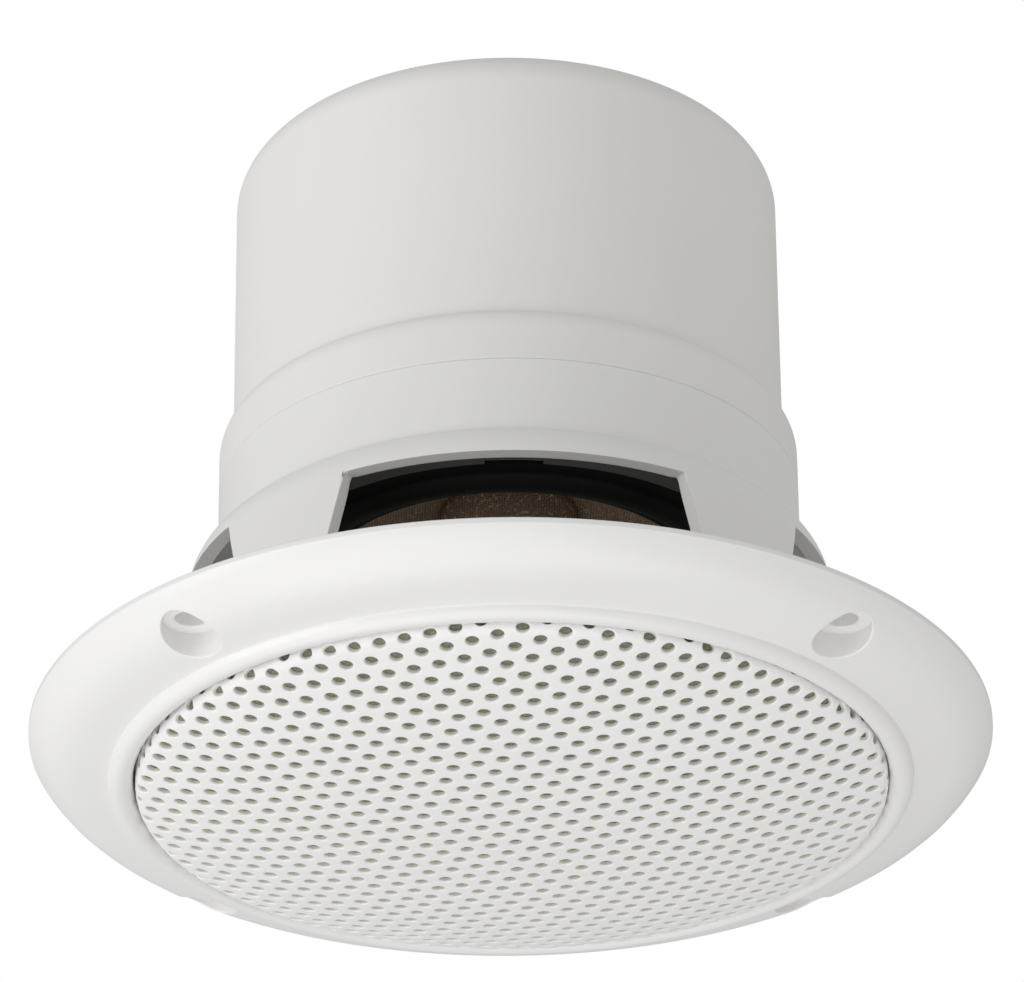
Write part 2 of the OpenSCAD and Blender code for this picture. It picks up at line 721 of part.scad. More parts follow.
front_frame();
vented_skirt();
grille();
grille_fleece();
rear_cap();
driver_basket();
basket_seal();
trim_ring();
surround();
cone();
dust_cap();
coil_former();
voice_coil();
spider();
top_plate();
magnet();
yoke();
terminal_board();
terminal_positive();
terminal_negative();
board_rivets();
tinsel_positive();
tinsel_negative();
driver_screws();
cable_grommet();
terminal_block();
clamp_screws();
block_screws();
supply_wire_positive();
supply_wire_negative();
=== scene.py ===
import json
import math
import bmesh
import bpy
import mathutils
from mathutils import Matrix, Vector


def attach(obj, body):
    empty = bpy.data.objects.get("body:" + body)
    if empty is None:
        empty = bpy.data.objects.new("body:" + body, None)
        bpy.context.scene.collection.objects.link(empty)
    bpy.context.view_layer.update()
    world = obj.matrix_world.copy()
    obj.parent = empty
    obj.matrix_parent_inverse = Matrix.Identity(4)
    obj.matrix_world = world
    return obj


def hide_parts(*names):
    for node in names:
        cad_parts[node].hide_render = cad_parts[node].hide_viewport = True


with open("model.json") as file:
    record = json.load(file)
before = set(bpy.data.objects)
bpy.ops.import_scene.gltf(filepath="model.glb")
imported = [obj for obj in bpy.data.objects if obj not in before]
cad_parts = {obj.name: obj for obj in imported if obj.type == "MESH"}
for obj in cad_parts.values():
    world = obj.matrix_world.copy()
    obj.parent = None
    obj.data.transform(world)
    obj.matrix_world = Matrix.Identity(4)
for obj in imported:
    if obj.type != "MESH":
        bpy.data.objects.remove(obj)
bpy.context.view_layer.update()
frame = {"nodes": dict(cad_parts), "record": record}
nodes = frame["nodes"]
print("frame loaded with", len(nodes), "nodes")

mm = 0.001  # shapes below are worked out in millimetres


# Outlines are lists of (radius, height) points

def arcPoints(centre, rx, ry, start, end, steps):
    turn = [math.radians(start + (end - start) * i / steps) for i in range(steps + 1)]
    return [(centre[0] + rx * math.cos(t), centre[1] + ry * math.sin(t)) for t in turn]


def softened(corners, closed=True, steps=3):
    # corners are (radius, height, fillet); a fillet of 0 keeps the corner sharp
    outline = []
    count = len(corners)
    for i, (x, y, fillet) in enumerate(corners):
        here = Vector((x, y))
        if fillet == 0 or (not closed and i in (0, count - 1)):
            outline.append((x, y))
            continue
        before = (Vector(corners[i - 1][:2]) - here).normalized()
        after = (Vector(corners[(i + 1) % count][:2]) - here).normalized()
        half = math.acos(max(-1.0, min(1.0, before.dot(after)))) / 2
        if half > math.radians(88):
            outline.append((x, y))
            continue
        cut = fillet / math.tan(half)
        middle = here + (before + after).normalized() * fillet / math.sin(half)
        start = (here + before * cut - middle) / fillet
        end = (here + after * cut - middle) / fillet
        for k in range(steps + 1):
            spot = middle + start.slerp(end, k / steps).normalized() * fillet
            outline.append((spot.x, spot.y))
    return outline


class Shell:
    # points in millimetres and faces, gathered and then made into one object
    def __init__(self, name):
        self.name = name
        self.points = []
        self.faces = []
        self.marks = []
        self.creases = []

    def ring(self, outlinePoint, turns):
        radius, height = outlinePoint[:2]
        if radius < 0.001:
            return [self.point((0.0, 0.0, height))] * len(turns)
        return [self.point((radius * math.cos(t), radius * math.sin(t), height)) for t in turns]

    def point(self, place):
        self.points.append(place)
        return len(self.points) - 1

    def face(self, corners, mark=0):
        kept = [c for i, c in enumerate(corners) if c != corners[i - 1]]
        if len(kept) > 2:
            self.faces.append(kept)
            self.marks.append(mark)

    def strip(self, low, high, mark=0, closed=True, skip=()):
        count = len(low)
        for i in range(count if closed else count - 1):
            j = (i + 1) % count
            if i not in skip:
                self.face([low[i], low[j], high[j], high[i]], mark)

    def lathe(self, outline, turns, closed=True, mark=0):
        rings = [self.ring(p, turns) for p in outline]
        for i in range(len(rings) if closed else len(rings) - 1):
            self.strip(rings[i], rings[(i + 1) % len(rings)], mark)
        return rings

    def build(self, materials, edgeRound=0.0, sharpAngle=40):
        bm = bmesh.new()
        verts = [bm.verts.new((p[0] * mm, p[1] * mm, p[2] * mm)) for p in self.points]
        for corners, mark in zip(self.faces, self.marks):
            made = bm.faces.new([verts[c] for c in corners])
            made.material_index = mark
            made.smooth = True
        if self.creases:
            edges = [bm.edges.get((verts[a], verts[b])) for a, b in self.creases]
            edges = list({e for e in edges if e is not None})
            bmesh.ops.bevel(bm, geom=edges, offset=edgeRound * mm, segments=2, profile=0.5,
                            affect="EDGES", clamp_overlap=False, loop_slide=False)
        bmesh.ops.delete(bm, geom=[v for v in bm.verts if not v.link_faces], context="VERTS")
        bmesh.ops.remove_doubles(bm, verts=bm.verts, dist=0.0015 * mm)
        bmesh.ops.recalc_face_normals(bm, faces=bm.faces)
        limit = math.radians(sharpAngle)
        for edge in bm.edges:
            if len(edge.link_faces) == 2 and edge.calc_face_angle(0) > limit:
                edge.smooth = False
        mesh = bpy.data.meshes.new(self.name)
        bm.to_mesh(mesh)
        bm.free()
        for material in materials:
            mesh.materials.append(material)
        piece = bpy.data.objects.new(self.name, mesh)
        bpy.context.collection.objects.link(piece)
        weighted = piece.modifiers.new("evenNormals", "WEIGHTED_NORMAL")
        weighted.keep_sharp = True
        print(self.name, "has", len(mesh.polygons), "faces")
        return piece


def sheetTriangles(loops, extras):
    # flat triangles between loops of plan points; the first loop is the outer edge
    plan = []
    edges = []
    owner = []
    for number, loop in enumerate(loops):
        first = len(plan)
        plan.extend(Vector(p) for p in loop)
        owner.extend([number] * len(loop))
        edges.extend((first + i, first + (i + 1) % len(loop)) for i in range(len(loop)))
    plan.extend(Vector(p) for p in extras)
    owner.extend([-1] * len(extras))
    found = mathutils.geometry.delaunay_2d_cdt(plan, edges, [], 0, 1e-6)
    triangles, sources = found[2], found[3]
    origin = [s[0] if s else -1 for s in sources]
    kept = []
    for triangle in triangles:
        held = {owner[origin[c]] if origin[c] >= 0 else -1 for c in triangle}
        if len(held) > 1 or held == {-1}:
            kept.append([origin[c] for c in triangle])
    return [tuple(p) for p in plan], kept


# Materials: one socket wrapper for arithmetic and one class per finish

class Tap:
    def __init__(self, finish, socket):
        self.finish = finish
        self.socket = socket

    def maths(self, operation, *others):
        values = {i: v for i, v in enumerate(others)}
        return self.finish.node("ShaderNodeMath", {"operation": operation}, values)

    def __add__(self, other):
        return self.maths("ADD", self, other)

    def __radd__(self, other):
        return self.maths("ADD", other, self)

    def __sub__(self, other):
        return self.maths("SUBTRACT", self, other)

    def __rsub__(self, other):
        return self.maths("SUBTRACT", other, self)

    def __mul__(self, other):
        return self.maths("MULTIPLY", self, other)

    def __rmul__(self, other):
        return self.maths("MULTIPLY", other, self)

    def __gt__(self, other):
        return self.maths("GREATER_THAN", self, other)

    def sine(self):
        return self.maths("SINE", self)

    def size(self):
        return self.maths("ABSOLUTE", self)

    def topOf(self, other):
        return self.maths("MAXIMUM", self, other)


class Finish:
    def __init__(self, name, **constants):
        self.material = bpy.data.materials.new(name)
        self.material.use_nodes = True
        self.tree = self.material.node_tree
        self.shader = self.tree.nodes["Principled BSDF"]
        for key, value in constants.items():
            self.shader.inputs[socketNames[key]].default_value = value
        self.material.diffuse_color = constants.get("colour", (0.5, 0.5, 0.5, 1))

    def node(self, kind, settings, inputs, output=0):
        made = self.tree.nodes.new(kind)
        for key, value in settings.items():
            if key == "stops":
                self.setStops(made.color_ramp, value)
            else:
                setattr(made, key, value)
        for key, value in inputs.items():
            self.feed(made.inputs[key], value)
        return Tap(self, made.outputs[output])

    def setStops(self, ramp, stops):
        while len(ramp.elements) < len(stops):
            ramp.elements.new(0.5)
        for element, (place, colour) in zip(ramp.elements, stops):
            element.position = place
            element.color = colour

    def feed(self, socket, value):
        if isinstance(value, Tap):
            self.tree.links.new(value.socket, socket)
        else:
            socket.default_value = value

    def wear(self, key, value):
        self.feed(self.shader.inputs[socketNames[key]], value)

    def place(self):
        return self.node("ShaderNodeTexCoord", {}, {}, "Object")

    def axes(self):
        split = self.node("ShaderNodeSeparateXYZ", {}, {0: self.place()})
        made = split.socket.node
        return [Tap(self, made.outputs[i]) for i in range(3)]

    def noise(self, scale, detail=2.0, roughness=0.5):
        inputs = {"Vector": self.place(), "Scale": scale, "Detail": detail, "Roughness": roughness}
        return self.node("ShaderNodeTexNoise", {}, inputs, 0)

    def ramp(self, value, stops):
        return self.node("ShaderNodeValToRGB", {"stops": stops}, {0: value})

    def mixed(self, amount, first, second):
        return self.node("ShaderNodeMix", {"data_type": "RGBA"}, {0: amount, 6: first, 7: second}, 2)

    def bump(self, height, distance, strength=1.0):
        inputs = {"Height": height, "Distance": distance * mm, "Strength": strength}
        self.wear("normal", self.node("ShaderNodeBump", {}, inputs))


socketNames = {"colour": "Base Color", "roughness": "Roughness", "metal": "Metallic",
               "coat": "Coat Weight", "coatRoughness": "Coat Roughness", "normal": "Normal",
               "sheen": "Sheen Weight", "specular": "Specular IOR Level"}


def grey(level, warmth=0.0, green=0.0):
    return (level * (1 + warmth), level * (1 + green), level * (1 - warmth), 1.0)


framePaint = {"light": grey(0.86, 0.006), "shade": grey(0.83, 0.008), "roughness": 0.27}


def makeFramePlastic():
    finish = Finish("framePlastic", colour=framePaint["light"], roughness=framePaint["roughness"])
    cloud = finish.noise(25.0)
    finish.wear("colour", finish.mixed(cloud, framePaint["light"], framePaint["shade"]))
    finish.wear("roughness", framePaint["roughness"] + finish.noise(60.0) * 0.07)
    finish.bump(finish.noise(700.0, 3.0), 0.012, 0.5)
    return finish.material


capPaint = {"light": grey(0.86, 0.010), "shade": grey(0.82, 0.012), "roughness": 0.42}


def makeCapPlastic():
    finish = Finish("capPlastic", colour=capPaint["light"], roughness=capPaint["roughness"])
    cloud = finish.noise(30.0)
    finish.wear("colour", finish.mixed(cloud, capPaint["light"], capPaint["shade"]))
    finish.wear("roughness", capPaint["roughness"] + finish.noise(80.0) * 0.08)
    finish.bump(finish.noise(1600.0, 2.0), 0.03, 0.6)
    return finish.material


# the two hole-wall colours at the end are painted shade: the grille's own pale paint, darkened and tinted
# grey-green where the walls sit in shadow, with a random mottle
grillePaint = {"light": grey(0.9, 0.006), "shade": grey(0.87, 0.008), "inside": (0.73, 0.73, 0.65, 1),
               "mottledShade": (0.80, 0.80, 0.72, 1)}


def makeGrillePaint():
    finish = Finish("grillePaint", colour=grillePaint["light"], roughness=0.42)
    finish.wear("colour", finish.mixed(finish.noise(35.0), grillePaint["light"], grillePaint["shade"]))
    finish.wear("roughness", 0.38 + finish.noise(900.0) * 0.1)
    finish.bump(finish.noise(1400.0, 2.0), 0.02, 0.5)
    return finish.material


# hole walls: painted shade, the grille paint darkened to grey-green inside the holes, with a random mottle
def makeHoleWallShade():
    finish = Finish("grilleHoleWallShade", colour=grillePaint["inside"], roughness=0.6)
    mottledShade = finish.mixed(finish.noise(900.0), grillePaint["inside"], grillePaint["mottledShade"])
    finish.wear("colour", mottledShade)
    finish.bump(finish.noise(2500.0), 0.02, 0.5)
    return finish.material


# the fleece's dark grey-green is partly the scrim's own colour and partly painted shade for the shadow seen
# through the grille's holes
def makeFleece():
    finish = Finish("fleece", colour=(0.22, 0.22, 0.17, 1), roughness=0.95)
    fibres = finish.noise(2200.0, 4.0, 0.7)
    finish.wear("colour", finish.ramp(fibres, [(0.3, (0.13, 0.13, 0.10, 1)), (0.7, (0.30, 0.30, 0.24, 1))]))
    finish.bump(fibres, 0.15, 0.8)
    return finish.material


# the deep colour is painted shade for the valleys between threads; the last colour is a painted glint
# highlight
weave = {"thread": 0.5, "brown": (0.38, 0.25, 0.165, 1), "deep": (0.10, 0.068, 0.05, 1),
         "glintHighlight": (0.75, 0.56, 0.30, 1)}


def makeWeave(name):
    finish = Finish(name, colour=weave["brown"], roughness=0.55)
    x, y = finish.axes()[:2]
    step = math.pi / (weave["thread"] * mm)
    warp = (x * step).sine().size()
    weft = (y * step).sine().size()
    height = warp.topOf(weft)
    # painted glints: a gold highlight colour laid on the thread crests at random spots
    glints = finish.noise(1500.0, 1.0)
    # thread colour darkens towards the valleys between threads: painted shade
    threads = finish.mixed(height * height, weave["deep"], weave["brown"])
    finish.wear("colour", finish.mixed((glints > 0.62) * height, threads, weave["glintHighlight"]))
    finish.wear("roughness", 0.68 - height * 0.25)
    finish.bump(height, 0.2, 0.9)
    return finish.material


def makeSpeckled(name, colour, spread, roughness, scale, depth, **constants):
    # a plain finish whose tone and surface vary a little over a fine grain
    finish = Finish(name, colour=colour, roughness=roughness, **constants)
    darker = tuple(c * (1 - spread) for c in colour[:3]) + (1.0,)
    grain = finish.noise(scale, 3.0)
    finish.wear("colour", finish.mixed(grain, darker, colour))
    finish.wear("roughness", roughness - 0.06 + grain * 0.12)
    finish.bump(grain, depth, 0.6)
    return finish.material


def makeBrushed(name, colour, roughness):
    finish = Finish(name, colour=colour, roughness=roughness, metal=1.0)
    z = finish.axes()[2]
    around = finish.node("ShaderNodeTexNoise", {}, {"Vector": finish.place(), "Scale": 300.0, "Detail": 4.0})
    lines = (z * 9000.0 + around * 6.0).sine()
    finish.wear("roughness", roughness + lines.size() * 0.1)
    finish.wear("colour", finish.mixed(around, tuple(c * 0.8 for c in colour[:3]) + (1.0,), colour))
    finish.bump(lines, 0.01, 0.4)
    return finish.material


def makeWoundWire():
    finish = Finish("coilWire", colour=(0.45, 0.17, 0.06, 1), roughness=0.3, metal=0.6)
    z = finish.axes()[2]
    turns = (z * (math.pi / (0.25 * mm))).sine().size()
    # darker in the grooves between the wire's turns: painted shade
    finish.wear("colour", finish.mixed(turns, (0.12, 0.04, 0.02, 1), (0.5, 0.2, 0.07, 1)))
    finish.bump(turns, 0.1, 0.9)
    return finish.material


def makeBraid():
    finish = Finish("tinselBraid", colour=(0.55, 0.35, 0.2, 1), roughness=0.4, metal=0.7)
    x, y, z = finish.axes()
    strands = ((x + y + z) * (math.pi / (0.3 * mm))).sine().size()
    # darker in the grooves between the strands: painted shade
    finish.wear("colour", finish.mixed(strands, (0.2, 0.12, 0.07, 1), (0.65, 0.45, 0.28, 1)))
    finish.bump(strands, 0.12, 0.9)
    return finish.material


finishes = {
    "frame_plastic": makeFramePlastic(),
    "grille_paint": makeGrillePaint(),
    "fleece": makeFleece(),
    "cap_plastic": makeCapPlastic(),
    "basket_paint": makeSpeckled("basketPaint", grey(0.03), 0.3, 0.4, 900.0, 0.02),
    "seal_foam": makeSpeckled("sealFoam", grey(0.03), 0.5, 0.95, 1800.0, 0.2),
    "trim_plastic": makeSpeckled("trimPlastic", grey(0.13, 0.02), 0.3, 0.6, 1200.0, 0.03),
    "surround_rubber": makeSpeckled("surroundRubber", grey(0.010), 0.3, 0.7, 700.0, 0.02, specular=0.2),
    "cone_weave": makeWeave("coneWeave"),
    "dust_cap_fabric": makeWeave("dustCapWeave"),
    "former_film": makeSpeckled("formerFilm", (0.5, 0.28, 0.08, 1), 0.1, 0.35, 300.0, 0.01),
    "coil_wire": makeWoundWire(),
    "spider_cloth": makeSpeckled("spiderCloth", (0.55, 0.33, 0.11, 1), 0.35, 0.85, 2200.0, 0.12),
    "plated_steel": makeBrushed("platedSteel", (0.62, 0.62, 0.6, 1), 0.3),
    "ferrite": makeSpeckled("ferrite", grey(0.04), 0.35, 0.6, 500.0, 0.03),
    "board": makeSpeckled("boardLaminate", (0.2, 0.1, 0.04, 1), 0.3, 0.5, 600.0, 0.02),
    "terminal_metal": makeBrushed("terminalMetal", (0.75, 0.74, 0.7, 1), 0.25),
    "screw_metal": makeBrushed("screwMetal", (0.68, 0.68, 0.68, 1), 0.3),
    "tinsel": makeBraid(),
    "grommet_rubber": makeSpeckled("grommetRubber", grey(0.022), 0.25, 0.6, 900.0, 0.02),
    "block_plastic": makeSpeckled("blockPlastic", (0.78, 0.75, 0.66, 1), 0.06, 0.4, 200.0, 0.02),
    "wire_red": makeSpeckled("wireRed", (0.45, 0.02, 0.02, 1), 0.15, 0.35, 300.0, 0.01),
    "wire_black": makeSpeckled("wireBlack", grey(0.015), 0.15, 0.35, 300.0, 0.01),
}
for part in frame["record"]["subparts"]:
    for slot in nodes[part["node"]].material_slots:
        slot.material = finishes[part["material_slot"]]
print("materials made:", len(finishes))


# Front frame and vented skirt: one moulding with windows, ribs and screw recesses

flange = {"radius": 90.0, "rimEdge": 1.1, "crownDrop": 9.44, "wall": 2.4, "lipWidth": 4.5, "lipDrop": 2.1,
          "faceWidth": 19.6, "seat": 2.6, "rimFillet": 0.3, "crease": 0.25, "backX": 75.17, "backZ": 6.96,
          "backArc": 14.48, "faceOut": 88.9, "faceIn": 75.7, "rimBend": 89.45, "lipStart": 75.3,
          "hollowOut": 87.3, "hollowIn": 73.4, "bossLimit": 87.0, "sheetRows": 10}
facePoles = [(90.0, -1.1), (86.0, -8.03), (81.03, -8.14), (73.2, -9.8)]
skirt = {"radius": 61.0, "wall": 2.8, "collarWall": 2.0, "shoulderHeight": 28.0, "shoulderRadius": 9.0,
         "collar": 55.3, "seam": 51.2, "rebate": 51.9, "rebateHeight": 36.2, "ledge": 46.6, "ledgeTop": 38.6,
         "bendTop": 37.6}
collarBend = [(0.0, 36.9), (0.06, 36.55), (0.25, 36.27)]  # how far out of the collar, and the height
windows = {"angle": 61.0, "low": 3.0, "high": 28.9, "spanSteps": 49, "postSteps": 23, "edge": 0.35,
           "flare": 0.30, "rowsTo": 25.0}
screws = {"circle": 82.0, "head": 5.35, "hole": 3.0, "seat": -4.0, "boss": 7.85, "edge": 0.3, "points": 48,
          "soft": 0.3, "clear": 1.7}
ribs = {"count": 24, "thickness": 1.6, "top": -1.0, "steps": 6, "bite": 0.3, "gap": 0.2, "behind": 1.1}

recessR = flange["radius"] - flange["faceWidth"]
lipR = recessR + flange["lipWidth"]
backOut = flange["radius"] - flange["wall"]
backIn = recessR + flange["wall"]


def makeFaceCurve():
    # the flange's face as a Bezier curve through its poles, from its inner end out
    made = []
    for step in range(201):
        t = step / 200
        weights = ((1 - t) ** 3, 3 * t * (1 - t) ** 2, 3 * t * t * (1 - t), t ** 3)
        made.append(tuple(sum(w * pole[k] for w, pole in zip(weights, facePoles)) for k in (0, 1)))
    return made[::-1]


faceCurve = makeFaceCurve()


def faceHeight(radius):
    after = next((i for i, spot in enumerate(faceCurve) if spot[0] >= radius), len(faceCurve) - 1)
    (r0, z0), (r1, z1) = faceCurve[max(after, 1) - 1], faceCurve[max(after, 1)]
    return z0 + (z1 - z0) * (radius - r0) / (r1 - r0)


def backHeight(radius):
    return flange["backZ"] - math.sqrt(flange["backArc"] ** 2 - (radius - flange["backX"]) ** 2)


def frameTurns():
    # columns that fall on the windows' sides, all the way round
    turns = []
    half = windows["angle"] / 2
    for quarter in range(4):
        middle = 90.0 * quarter
        for i in range(windows["spanSteps"]):
            turns.append(middle - half + windows["angle"] * i / windows["spanSteps"])
        for i in range(windows["postSteps"]):
            turns.append(middle + half + (90.0 - windows["angle"]) * i / windows["postSteps"])
    return [math.radians(t) for t in turns]


def flareRing(shell, numbers, height):
    # shifts a ring's columns so that the windows widen towards the flange
    half = math.radians(windows["angle"] / 2)
    wide = half + windows["flare"] * (windows["high"] - height) / skirt["radius"]
    for number in numbers:
        x, y, z = shell.points[number]
        turn = math.atan2(y, x)
        middle = round(turn / (math.pi / 2)) * math.pi / 2
        off = turn - middle
        if abs(off) <= half + 1e-9:
            moved = off * wide / half
        else:
            post = math.pi / 4
            moved = math.copysign(post - (post - abs(off)) * (post - wide) / (post - half), off)
        radius = math.hypot(x, y)
        shell.points[number] = (radius * math.cos(middle + moved), radius * math.sin(middle + moved), z)


def screwLoop(middle, rho, heightOf, limit=None):
    # points round one screw hole, pulled in where they would pass the cavity's wall
    spots = []
    cx = screws["circle"] * math.cos(middle)
    cy = screws["circle"] * math.sin(middle)
    for i in range(screws["points"]):
        t = middle + 2 * math.pi * i / screws["points"]
        x = cx + rho * math.cos(t)
        y = cy + rho * math.sin(t)
        out = math.hypot(x, y)
        if limit and out > limit:
            x *= limit / out
            y *= limit / out
            out = limit
        spots.append((x, y, heightOf(out)))
    return spots


def holedSheet(shell, turns, inner, outer, rho, limit, heightOf, rows):
    # a curved sheet between two circles with the four screw holes left open
    middles = [math.radians(45 + 90 * k) for k in range(4)]
    spotsOf = [(screws["circle"] * math.cos(m), screws["circle"] * math.sin(m)) for m in middles]
    circle = [[(r * math.cos(t), r * math.sin(t)) for t in turns] for r in (outer, inner)]
    holes = [[p[:2] for p in screwLoop(m, rho, heightOf, limit)] for m in middles]
    extras = []
    for m in middles:
        for more in (0.55, 1.2):
            spots = [p[:2] for p in screwLoop(m, rho + more, heightOf, limit)]
            extras.extend(p for p in spots if inner + 0.4 < math.hypot(*p) < (limit or outer) - 0.4)
    for i in range(1, rows):
        r = inner + (outer - inner) * i / rows
        for t in turns:
            spot = (r * math.cos(t), r * math.sin(t))
            if min(math.hypot(spot[0] - cx, spot[1] - cy) for cx, cy in spotsOf) > rho + screws["clear"]:
                extras.append(spot)
    plan, triangles = sheetTriangles([*circle, *holes], extras)
    numbers = [shell.point((x, y, heightOf(math.hypot(x, y)))) for x, y in plan]
    for triangle in triangles:
        shell.face([numbers[c] for c in triangle])
    firsts = [2 * len(turns) + k * screws["points"] for k in range(4)]
    loops = [numbers[f:f + screws["points"]] for f in firsts]
    return numbers[:len(turns)], numbers[len(turns):2 * len(turns)], loops


def recessRings(shell, middle, faceLoop, backLoop, backLimit):
    # from the rounded rim of the recess down its wall, across its floor and up the boss
    head = screws["head"]
    edge = screws["edge"]
    seat = screws["seat"]
    hole = screws["hole"]
    soft = screws["soft"]
    start = [shell.points[i][2] for i in faceLoop]
    rings = [faceLoop]
    for angle in (30, 60, 90):
        lift = edge * (1 - math.cos(math.radians(angle)))
        spots = screwLoop(middle, head + edge * (1 - math.sin(math.radians(angle))), faceHeight)
        rings.append([shell.point((x, y, min(seat, z + lift))) for (x, y, _), z in zip(spots, start)])
    flat = [(head, seat - 0.15), (head - 0.12, seat), (hole + soft, seat), (hole, seat + soft), (hole, -soft),
            (hole + soft, 0.0)]
    for rho, height in flat:
        spots = screwLoop(middle, rho, lambda r: height)
        if rho == head:
            tops = [shell.points[i][2] for i in rings[-1]]
            rings.append([shell.point((x, y, max(height, top))) for (x, y, _), top in zip(spots, tops)])
        else:
            rings.append([shell.point(p) for p in spots])
    for rho, height in ((screws["boss"] - soft, 0.0), (screws["boss"], -soft)):
        rings.append([shell.point(p) for p in screwLoop(middle, rho, lambda r: height, backLimit)])
    rings.append(backLoop)
    for low, high in zip(rings, rings[1:]):
        shell.strip(low, high)


def addRibs(shell):
    bite, gap = ribs["bite"], ribs["gap"]
    for i in range(ribs["count"]):
        turn = math.radians(360 * (i + 0.5) / ribs["count"])
        along = (math.cos(turn), math.sin(turn))
        sides = []
        for side in (-1, 1):
            top = []
            low = []
            for k in range(ribs["steps"] + 1):
                r = backIn - bite + (backOut - gap - backIn + bite) * k / ribs["steps"]
                off = side * ribs["thickness"] / 2
                spot = (r * along[0] - off * along[1], r * along[1] + off * along[0])
                top.append(shell.point((*spot, ribs["top"])))
                low.append(shell.point((*spot, min(ribs["top"] - gap, backHeight(r) - ribs["behind"]))))
            sides.append((top, low))
        (topA, lowA), (topB, lowB) = sides
        for a, b in ((topA, lowA), (topB, lowB), (topA, topB), (lowA, lowB)):
            shell.strip(a, b, closed=False)
        shell.face([topA[0], lowA[0], lowB[0], topB[0]])
        shell.face([topA[-1], lowA[-1], lowB[-1], topB[-1]])


def makeFrame():
    shell = Shell("mouldedFrame")
    turns = frameTurns()
    faceOut, faceIn = flange["faceOut"], flange["faceIn"]
    hollowOut, hollowIn = flange["hollowOut"], flange["hollowIn"]
    rimFillet, rimBend = flange["rimFillet"], flange["rimBend"]
    lipStart, crown = flange["lipStart"], -flange["crownDrop"]
    limit, rows = flange["bossLimit"], flange["sheetRows"]
    mouth = screws["head"] + screws["edge"]
    faceSheet = holedSheet(shell, turns, faceIn, faceOut, mouth, None, faceHeight, rows)
    backSheet = holedSheet(shell, turns, hollowIn, hollowOut, screws["boss"], limit, backHeight, rows)
    for k in range(4):
        recessRings(shell, math.radians(45 + 90 * k), faceSheet[2][k], backSheet[2][k], limit)

    # the rim, from the hollow's outer edge round to the face
    rim = softened([(hollowOut + 0.001, backHeight(hollowOut), 0), (backOut, backHeight(backOut), 0),
                    (backOut, 0.0, 0.2), (flange["radius"], 0.0, rimFillet),
                    (flange["radius"], -flange["rimEdge"], rimFillet), (rimBend, faceHeight(rimBend), 0),
                    (faceOut, faceHeight(faceOut), 0)], closed=False)[1:-1]
    rings = [backSheet[0]] + [shell.ring(p, turns) for p in rim] + [faceSheet[0]]
    for low, high in zip(rings, rings[1:]):
        shell.strip(low, high)

    # from the face in over the lip, to the seat and the skirt's inner side
    crease = softened([(faceIn, faceHeight(faceIn), 0), (lipStart, faceHeight(lipStart), 0),
                       (lipR, crown, flange["crease"]), (lipR - 0.05, crown - 0.4, 0)], closed=False)[1:-1]
    lipMid = ((lipR + recessR) / 2, crown)
    lip = arcPoints(lipMid, flange["lipWidth"] / 2, flange["lipDrop"], -14, -180, 20)
    inner = skirt["radius"] - skirt["wall"]
    seatCorner = softened([(recessR, crown, 0), (recessR, -flange["seat"], 0.4),
                           (inner, -flange["seat"], 0.5), (inner, windows["low"], 0)], closed=False)[1:-1]
    levels = [windows["low"] + windows["rowsTo"] * i / 9 for i in range(10)] + [windows["high"]]
    arcMid = (skirt["radius"] - skirt["shoulderRadius"], skirt["shoulderHeight"])
    arch = skirt["shoulderRadius"] - skirt["wall"]
    rise = windows["high"] - skirt["shoulderHeight"]
    innerWall = [(arcMid[0] + math.sqrt(arch ** 2 - max(0, z - arcMid[1]) ** 2), z) for z in levels]
    innerArc = arcPoints(arcMid, arch, arch, math.degrees(math.asin(rise / arch)), 90, 14)[1:]
    collar = skirt["collar"]
    collarIn = collar - skirt["collarWall"]
    top = softened([(*innerArc[-1], 0), (skirt["rebate"], arcMid[1] + arch, 0),
                    (skirt["rebate"], skirt["rebateHeight"], 0), (skirt["ledge"], skirt["rebateHeight"], 0.3),
                    (skirt["ledge"], skirt["ledgeTop"], 0.3), (collarIn, skirt["ledgeTop"], 0.3),
                    (collarIn, skirt["seam"], 0.2), (collar, skirt["seam"], 0.3),
                    (collar, skirt["bendTop"], 0)], closed=False)[1:]
    big = skirt["shoulderRadius"]
    meet = math.degrees(math.acos((collar - arcMid[0]) / big))
    outerArc = arcPoints(arcMid, big, big, meet - 6, math.degrees(math.asin(rise / big)), 16)
    bend = [(collar + out, height) for out, height in collarBend]
    outerWall = [(arcMid[0] + math.sqrt(big ** 2 - max(0, z - arcMid[1]) ** 2), z) for z in reversed(levels)]
    foot = softened([(skirt["radius"], windows["low"], 0), (skirt["radius"], 0.0, 0.5), (backIn, 0.0, 0.3),
                     (backIn, backHeight(backIn), 0.4), (hollowIn, backHeight(hollowIn), 0)],
                    closed=False)[1:-1]
    outline = crease + lip + seatCorner + innerWall + innerArc + top + bend + outerArc[:-1] + outerWall + foot
    innerFirst = len(crease) + len(lip) + len(seatCorner)
    outerFirst = len(outline) - len(foot) - len(outerWall)
    rings = [shell.ring(p, turns) for p in outline]
    for first, order in ((innerFirst, 1), (outerFirst, -1)):
        for z, numbers in zip(levels[::order], rings[first:first + len(levels)]):
            flareRing(shell, numbers, z)
    innerRings = rings[innerFirst:innerFirst + len(levels)]
    outerRings = rings[outerFirst:outerFirst + len(levels)][::-1]
    perQuarter = windows["spanSteps"] + windows["postSteps"]
    openColumns = {q * perQuarter + i for q in range(4) for i in range(windows["spanSteps"])}
    walls = set(range(innerFirst, innerFirst + len(levels) - 1))
    walls |= set(range(outerFirst, outerFirst + len(levels) - 1))
    ordered = [faceSheet[1], *rings, backSheet[1]]
    for i, (low, high) in enumerate(zip(ordered, ordered[1:])):
        shell.strip(low, high, skip=openColumns if i - 1 in walls else ())

